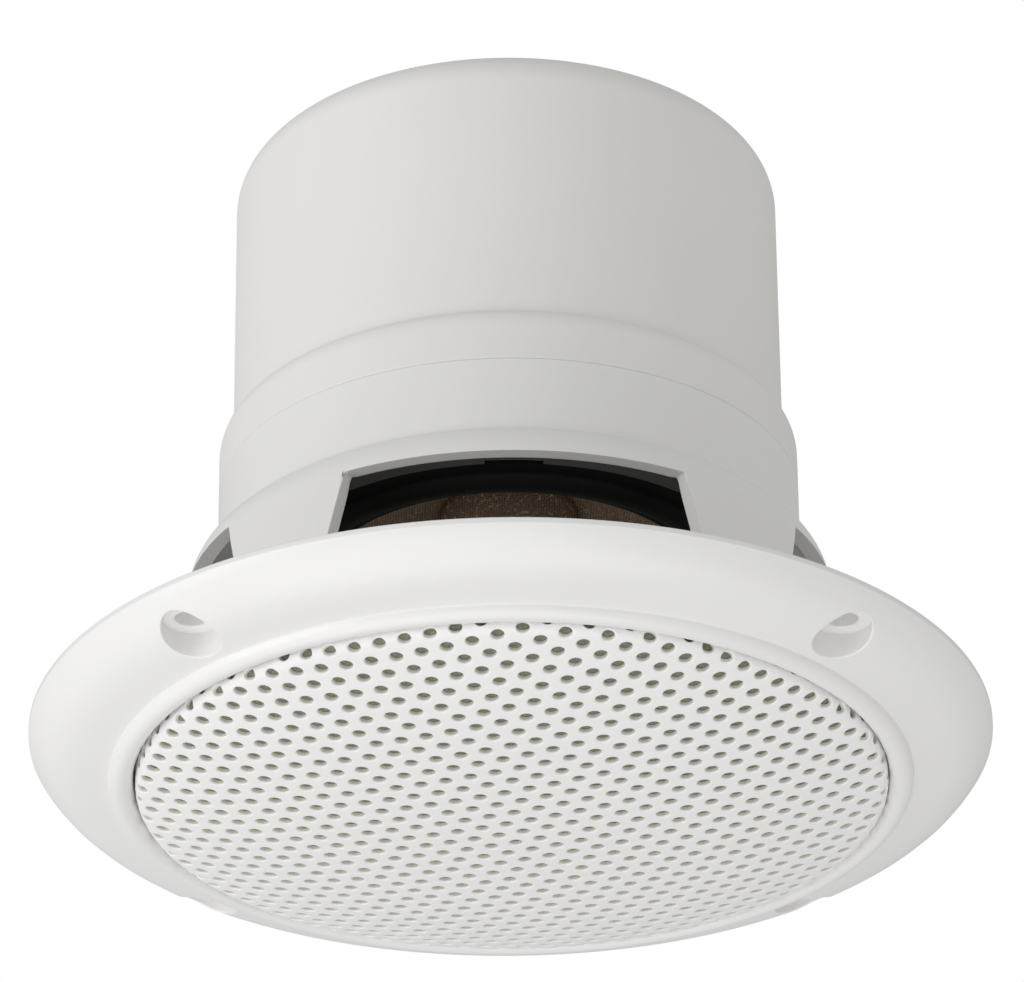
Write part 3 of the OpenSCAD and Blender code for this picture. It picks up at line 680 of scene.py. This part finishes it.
    # the windows' sides, with their edges marked to be rounded
    for q in range(4):
        a = q * perQuarter
        b = a + windows["spanSteps"]
        total = len(turns)
        for inside, outside in ((innerRings[0], outerRings[0]), (innerRings[-1], outerRings[-1])):
            for column in range(a, b):
                i, j = column % total, (column + 1) % total
                shell.face([inside[i], inside[j], outside[j], outside[i]])
                shell.creases.append((inside[i], inside[j]))
                shell.creases.append((outside[i], outside[j]))
        for column in (a, b % total):
            shell.creases.append((innerRings[0][column], outerRings[0][column]))
            shell.creases.append((innerRings[-1][column], outerRings[-1][column]))
            for low in range(len(levels) - 1):
                shell.face([innerRings[low][column], innerRings[low + 1][column],
                            outerRings[low + 1][column], outerRings[low][column]])
                shell.creases.append((innerRings[low][column], innerRings[low + 1][column]))
                shell.creases.append((outerRings[low][column], outerRings[low + 1][column]))
    addRibs(shell)
    piece = shell.build([finishes["frame_plastic"]], edgeRound=windows["edge"])
    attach(piece, "housing")
    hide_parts("front_frame", "vented_skirt")


makeFrame()


# Grille: a perforated sheet whose holes run on over its rolled edge

grille = {"drop": 19.76, "span": 70.0, "leans": ((0.1491, 1), (0.1222, 3), (0.0439, 7)), "rollFrom": 69.4,
          "roll": 1.95, "thickness": 1.0, "edgeHeight": -2.6, "aside": 0.15, "pitch": 4.82, "row": 4.03,
          "shift": 1.83, "turn": -21.35, "x": -2.45, "y": -0.36, "hole": 1.25, "straight": 0.34,
          "holePoints": 16, "reach": 76.0, "rimPoints": 256}
dimple = [(1.55, 0.0), (1.40, 0.05), (1.29, 0.20)]  # radius and depth of the soft edge round a hole

sheetStep = 0.1


def sheetProfile():
    # lean, radius and height every tenth of a millimetre along the sheet from its middle
    made = [(0.0, 0.0, -grille["drop"])]
    while made[-1][2] < grille["edgeHeight"]:
        lean, radius, height = made[-1]
        rho = len(made) * sheetStep
        share = rho / grille["span"]
        if rho <= grille["rollFrom"]:
            after = sum(factor * share ** power for factor, power in grille["leans"])
        else:
            after = min(math.pi / 2, lean + sheetStep / grille["roll"])
        mean = (lean + after) / 2
        made.append((after, radius + sheetStep * math.cos(mean), height + sheetStep * math.sin(mean)))
    return made


profile = sheetProfile()
sheetEnd = (len(profile) - 1.001) * sheetStep


def grillePoint(x, y, depth):
    # carries a point of the flat sheet onto the formed one, this deep below its face
    rho = max(math.hypot(x, y), 1e-6)
    low = min(int(rho / sheetStep), len(profile) - 2)
    share = min(rho / sheetStep - low, 1.0)
    lean, r, z = [a + (b - a) * share for a, b in zip(profile[low], profile[low + 1])]
    r -= depth * math.sin(lean)
    z += depth * math.cos(lean)
    return (x * r / rho + grille["aside"], y * r / rho, z)


def holeCentres():
    turn = math.radians(grille["turn"])
    centres = []
    for i in range(-26, 27):
        for j in range(-22, 23):
            u = i * grille["pitch"] + j * grille["shift"]
            v = j * grille["row"]
            x = grille["x"] + u * math.cos(turn) - v * math.sin(turn)
            y = grille["y"] + u * math.sin(turn) + v * math.cos(turn)
            if math.hypot(x, y) < grille["reach"]:
                centres.append((x, y))
    return centres


def makeGrille():
    shell = Shell("perforatedGrille")
    count = grille["holePoints"]
    turns = [2 * math.pi * i / grille["rimPoints"] for i in range(grille["rimPoints"])]
    around = [2 * math.pi * i / count for i in range(count)]
    centres = holeCentres()

    def loop(centre, radius):
        return [(centre[0] + radius * math.cos(t), centre[1] + radius * math.sin(t)) for t in around]

    rim = [(sheetEnd * math.cos(t), sheetEnd * math.sin(t)) for t in turns]
    cellsOf = {}
    for centre in centres:
        cellsOf.setdefault((round(centre[0] / 4), round(centre[1] / 4)), []).append(centre)
    extras = []
    rho = grille["rollFrom"] - 1.2
    while rho < sheetEnd - 0.5:
        for t in turns:
            spot = (rho * math.cos(t), rho * math.sin(t))
            key = (round(spot[0] / 4), round(spot[1] / 4))
            near = [c for dx in (-1, 0, 1) for dy in (-1, 0, 1)
                    for c in cellsOf.get((key[0] + dx, key[1] + dy), [])]
            if all(math.dist(spot, c) > dimple[0][0] + 0.35 for c in near):
                extras.append(spot)
        rho += 0.6
    plan, triangles = sheetTriangles([rim] + [loop(c, dimple[0][0]) for c in centres], extras)
    front = [shell.point(grillePoint(x, y, 0.0)) for x, y in plan]
    thick = grille["thickness"]
    rimCount = len(rim)
    back = []
    for i, (x, y) in enumerate(plan):
        hole = (i - rimCount) // count
        if i >= rimCount and hole < len(centres):
            cx, cy = centres[hole]
            shrink = grille["hole"] / dimple[0][0]
            x = cx + (x - cx) * shrink
            y = cy + (y - cy) * shrink
        back.append(shell.point(grillePoint(x, y, thick)))
    for triangle in triangles:
        shell.face([front[c] for c in triangle])
        shell.face([back[c] for c in reversed(triangle)])
    shell.strip(front[:rimCount], back[:rimCount])
    for hole, centre in enumerate(centres):
        first = rimCount + hole * count
        rings = [front[first:first + count]]
        for radius, depth in dimple[1:]:
            rings.append([shell.point(grillePoint(x, y, depth)) for x, y in loop(centre, radius)])
        narrow = loop(centre, grille["hole"])
        rings.append([shell.point(grillePoint(x, y, grille["straight"])) for x, y in narrow])
        rings.append(back[first:first + count])
        for k, (low, high) in enumerate(zip(rings, rings[1:])):
            # the straight wall of each hole takes the painted-shade material
            shell.strip(low, high, mark=1 if k == 3 else 0)
    piece = shell.build([finishes["grille_paint"], makeHoleWallShade()], sharpAngle=70)
    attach(piece, "housing")
    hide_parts("grille")
    print("grille holes:", len(centres))


makeGrille()


# Turned pieces: fleece, rear cap, grommet, cone, surround and dust cap

def evenTurns(count):
    return [2 * math.pi * i / count for i in range(count)]


fleece = {"thickness": 0.5, "radius": 78.0, "rows": 60}


def makeFleecePiece():
    shell = Shell("fleeceLining")
    outline = []
    for depth, order in ((0.02, 1), (fleece["thickness"], -1)):
        side = []
        for i in range(fleece["rows"] + 1):
            x, y, z = grillePoint(fleece["radius"] * i / fleece["rows"], 0.0, grille["thickness"] + depth)
            side.append((max(x - grille["aside"], 0.0), z))
        outline.extend(side[::order])
    shell.lathe(outline, evenTurns(128), closed=False)
    piece = shell.build([finishes["fleece"]])
    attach(piece, "housing")
    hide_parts("grille_fleece")


cap = {"radius": 52.65, "top": 121.0, "corner": 8.0, "band": 7.1, "step": 4.0, "wall": 2.2, "spigot": 4.2,
       "spigotOut": 53.15, "bead": 0.5, "edge": 0.3, "bore": 4.5, "ribs": 6,
       "ribInset": 2.0, "ribDepth": 2.5, "ribHalf": 0.8}


def makeRearCap():
    shell = Shell("rearCap")
    seam = skirt["seam"]
    bandTop = seam + cap["band"]
    stepTop = bandTop + cap["step"]
    ceiling = cap["top"] - cap["wall"]
    spigot = cap["spigotOut"]
    spigotIn = spigot - 1.8
    low = seam - cap["spigot"]
    beadAt = low + 1.2
    bead = cap["bead"]
    lower = softened([(spigotIn, low, 0.2), (spigot - 0.4, low, 0), (spigot, low + 0.6, 0),
                      (spigot, beadAt, 0), (spigot + bead, beadAt + bead, 0),
                      (spigot, beadAt + 2 * bead, 0), (spigot, seam, 0),
                      (skirt["collar"], seam, cap["edge"]), (skirt["collar"], bandTop, 0)], closed=False)
    step = arcPoints((cap["radius"], bandTop), skirt["collar"] - cap["radius"], cap["step"], 0, 84, 12)[1:]
    step += [(cap["radius"] + 0.12, stepTop + 0.12), (cap["radius"], stepTop + 0.5)]
    middle = cap["radius"] - cap["corner"]
    sideSpan = cap["top"] - cap["corner"] - stepTop - 0.5
    side = [(cap["radius"], stepTop + 0.5 + sideSpan * i / 6) for i in range(1, 6)]
    corner = arcPoints((middle, cap["top"] - cap["corner"]), cap["corner"], cap["corner"], 0, 90, 20)
    lid = [(middle * i / 5, cap["top"]) for i in range(4, 0, -1)] + [(cap["bore"], cap["top"])]
    inside = [(cap["bore"], ceiling)] + [(middle * i / 5, ceiling) for i in range(1, 5)]
    small = cap["corner"] - cap["wall"]
    innerCorner = arcPoints((middle, cap["top"] - cap["corner"]), small, small, 90, 0, 12)
    tail = [(cap["radius"] - cap["wall"], stepTop), (spigotIn, bandTop)]
    shell.lathe(lower + step + side + corner + lid + inside + innerCorner + tail, evenTurns(256))
    ribWall = cap["radius"] - cap["wall"]
    deep, half = cap["ribDepth"], cap["ribHalf"]
    ribCorners = [(0, -half), (deep, -half), (deep, half), (0, half)]
    for i in range(cap["ribs"]):
        turn = math.radians(360 * (i + 0.5) / cap["ribs"])
        along = Vector((math.cos(turn), math.sin(turn)))
        across = Vector((-along.y, along.x))
        ends = []
        for z in (stepTop + 1, ceiling - cap["corner"] - 1):
            corners = [along * (ribWall - cap["ribInset"] + a) + across * b for a, b in ribCorners]
            ends.append([shell.point((c.x, c.y, z)) for c in corners])
        shell.strip(*ends)
        shell.face(ends[0])
        shell.face(ends[1])
    piece = shell.build([finishes["cap_plastic"]])
    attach(piece, "housing")
    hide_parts("rear_cap")


grommet = {"bore": 3.0, "groove": 4.5, "outer": 6.5, "inner": 6.0, "flange": 1.6, "edge": 0.5}


def makeGrommet():
    shell = Shell("cableGrommet")
    top = cap["top"]
    ceiling = top - cap["wall"]
    under = ceiling - grommet["flange"]
    corners = [(grommet["bore"], under, 0.4), (grommet["inner"], under, 0.4),
               (grommet["inner"], ceiling, 0.1), (grommet["groove"], ceiling, 0), (grommet["groove"], top, 0),
               (grommet["outer"], top, 0.1), (grommet["outer"], top + grommet["flange"], grommet["edge"]),
               (grommet["bore"], top + grommet["flange"], 0.4)]
    shell.lathe(softened(corners, steps=4), evenTurns(64))
    piece = shell.build([finishes["grommet_rubber"]])
    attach(piece, "housing")
    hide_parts("cable_grommet")


driver = {"face": 34.2, "coneR": 37.4, "neck": 10.15, "depth": 16.3, "coneWall": 0.7, "belly": 0.9,
          "glue": 1.6, "roll": 3.1, "rollRise": 2.0, "rubber": 0.6, "trim": 47.5, "dustR": 13.0,
          "dustRise": 4.5}


def coneHeight(radius):
    span = driver["coneR"] - driver["neck"]
    slope = driver["depth"] / span
    gluedBulge = driver["belly"] * math.sin(math.pi * driver["glue"] / span)
    start = driver["face"] - slope * driver["glue"] - gluedBulge
    bulge = driver["belly"] * math.sin(math.pi * (driver["coneR"] - radius) / span)
    return start + slope * (driver["coneR"] - radius) + bulge


def makeConePiece():
    shell = Shell("wovenCone")
    rim = driver["coneR"] - driver["glue"]
    radii = [rim - (rim - driver["neck"]) * i / 24 for i in range(25)]
    wall = driver["coneWall"]
    outline = [(driver["coneR"], driver["face"])]
    outline += [(r, coneHeight(r)) for r in radii]
    outline += [(r, coneHeight(r) + wall) for r in reversed(radii)]
    outline.append((driver["coneR"], driver["face"] + wall))
    shell.lathe(outline, evenTurns(192))
    piece = shell.build([finishes["cone_weave"]])
    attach(piece, "cone_assembly")
    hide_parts("cone")


def makeDustCap():
    shell = Shell("dustCap")
    rim = coneHeight(driver["dustR"]) - 0.05
    outside = arcPoints((0, rim), driver["dustR"], driver["dustRise"], -90, 0, 18)
    inside = arcPoints((0, rim), driver["dustR"] - 0.6, driver["dustRise"] - 0.5, 0, -90, 18)
    outline = [(abs(r) if abs(r) > 1e-6 else 0.0, z) for r, z in outside + inside]
    shell.lathe(outline, evenTurns(96), closed=False)
    piece = shell.build([finishes["dust_cap_fabric"]])
    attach(piece, "cone_assembly")
    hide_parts("dust_cap")


def makeSurround():
    shell = Shell("surroundRoll")
    low = driver["face"] - driver["rubber"]
    middle = driver["coneR"] + 0.2 + driver["roll"]
    glue = driver["coneR"] - driver["glue"]
    small = driver["roll"] - driver["rubber"]
    outline = [(glue, low)] + arcPoints((middle, low), driver["roll"], driver["rollRise"], 180, 360, 24)
    outline += [(driver["trim"] - 0.2, low), (driver["trim"] - 0.2, driver["face"])]
    outline += arcPoints((middle, low), small, driver["rollRise"] - driver["rubber"], 360, 180, 20)
    outline += [(middle - driver["roll"] + driver["rubber"], driver["face"]), (glue, driver["face"])]
    shell.lathe(outline, evenTurns(192))
    piece = shell.build([finishes["surround_rubber"]])
    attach(piece, "housing")
    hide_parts("surround")


makeFleecePiece()
makeRearCap()
makeGrommet()
makeConePiece()
makeDustCap()
makeSurround()
print("turned pieces made")


# Camera at the photograph's angle, soft studio light and a pale floor

view = {"focal": 6046.45, "distance": 1.15, "rise": 27.491, "roll": -0.510, "turn": -1.25, "middleX": 509.07,
        "middleY": 551.29, "width": 1024, "height": 982, "target": 0.040}


def makeCamera():
    data = bpy.data.cameras.new("photoCamera")
    data.sensor_width = 36.0
    data.sensor_fit = "HORIZONTAL"
    data.lens = view["focal"] * data.sensor_width / view["width"]
    data.shift_x = (view["width"] / 2 - view["middleX"]) / view["width"]
    data.shift_y = (view["middleY"] - view["height"] / 2) / view["width"]
    rise = math.radians(view["rise"])
    roll = math.radians(view["roll"])
    forward = Vector((0, math.cos(rise), math.sin(rise)))
    up = Vector((0, -math.sin(rise), math.cos(rise)))
    right = Vector((1, 0, 0))
    tiltRight = right * math.cos(roll) + up * math.sin(roll)
    tiltUp = up * math.cos(roll) - right * math.sin(roll)
    columns = [tiltRight, tiltUp, -forward]
    turned = mathutils.Matrix([[c[i] for c in columns] for i in range(3)]).to_4x4()
    spot = Vector((0, 0, view["target"])) - forward * view["distance"]
    camera = bpy.data.objects.new("photoCamera", data)
    around = mathutils.Matrix.Rotation(math.radians(view["turn"]), 4, "Z")
    camera.matrix_world = around @ mathutils.Matrix.Translation(spot) @ turned
    bpy.context.collection.objects.link(camera)
    bpy.context.scene.camera = camera


lights = {"under": {"place": (-0.3, -0.5, -1.6), "power": 14.0, "size": 2.0},
          "left": {"place": (-1.6, -0.75, -0.25), "power": 13.0, "size": 1.3},
          "right": {"place": (1.5, -1.3, -0.3), "power": 4.0, "size": 1.4}}
studio = {"ambient": 0.50, "floorHeight": -2.3, "floorRadius": 4.0}


def makeLight(name, facts):
    data = bpy.data.lights.new(name, "AREA")
    data.size = facts["size"]
    data.energy = facts["power"]
    lamp = bpy.data.objects.new(name, data)
    lamp.location = facts["place"]
    lamp.visible_camera = False
    aim = Vector((0, 0, 0.03)) - lamp.location
    lamp.rotation_euler = aim.to_track_quat("-Z", "Y").to_euler()
    bpy.context.collection.objects.link(lamp)


def makeWorld():
    world = bpy.data.worlds.new("studioWorld")
    bpy.context.scene.world = world
    world.use_nodes = True
    tree = world.node_tree
    tree.nodes.clear()
    out = tree.nodes.new("ShaderNodeOutputWorld")
    mix = tree.nodes.new("ShaderNodeMixShader")
    path = tree.nodes.new("ShaderNodeLightPath")
    soft = tree.nodes.new("ShaderNodeBackground")
    white = tree.nodes.new("ShaderNodeBackground")
    level = studio["ambient"]
    soft.inputs["Color"].default_value = (level, level, level * 0.98, 1)
    white.inputs["Color"].default_value = (1, 1, 1, 1)
    tree.links.new(path.outputs["Is Camera Ray"], mix.inputs[0])
    tree.links.new(soft.outputs[0], mix.inputs[1])
    tree.links.new(white.outputs[0], mix.inputs[2])
    tree.links.new(mix.outputs[0], out.inputs[0])


def makeFloor():
    bm = bmesh.new()
    bmesh.ops.create_circle(bm, cap_ends=True, segments=96, radius=studio["floorRadius"])
    mesh = bpy.data.meshes.new("studioFloor")
    bm.to_mesh(mesh)
    bm.free()
    floor = bpy.data.objects.new("studioFloor", mesh)
    floor.location.z = studio["floorHeight"]
    bpy.context.collection.objects.link(floor)
    finish = Finish("floorPaint", colour=grey(0.85), roughness=0.8)
    finish.wear("colour", finish.mixed(finish.noise(2.0), grey(0.85), grey(0.82)))
    mesh.materials.append(finish.material)


makeCamera()
for name, facts in lights.items():
    makeLight(name, facts)
makeWorld()
makeFloor()
bpy.context.scene.view_settings.view_transform = "Standard"
bpy.context.scene.view_settings.look = "None"
print("camera, light and floor set")
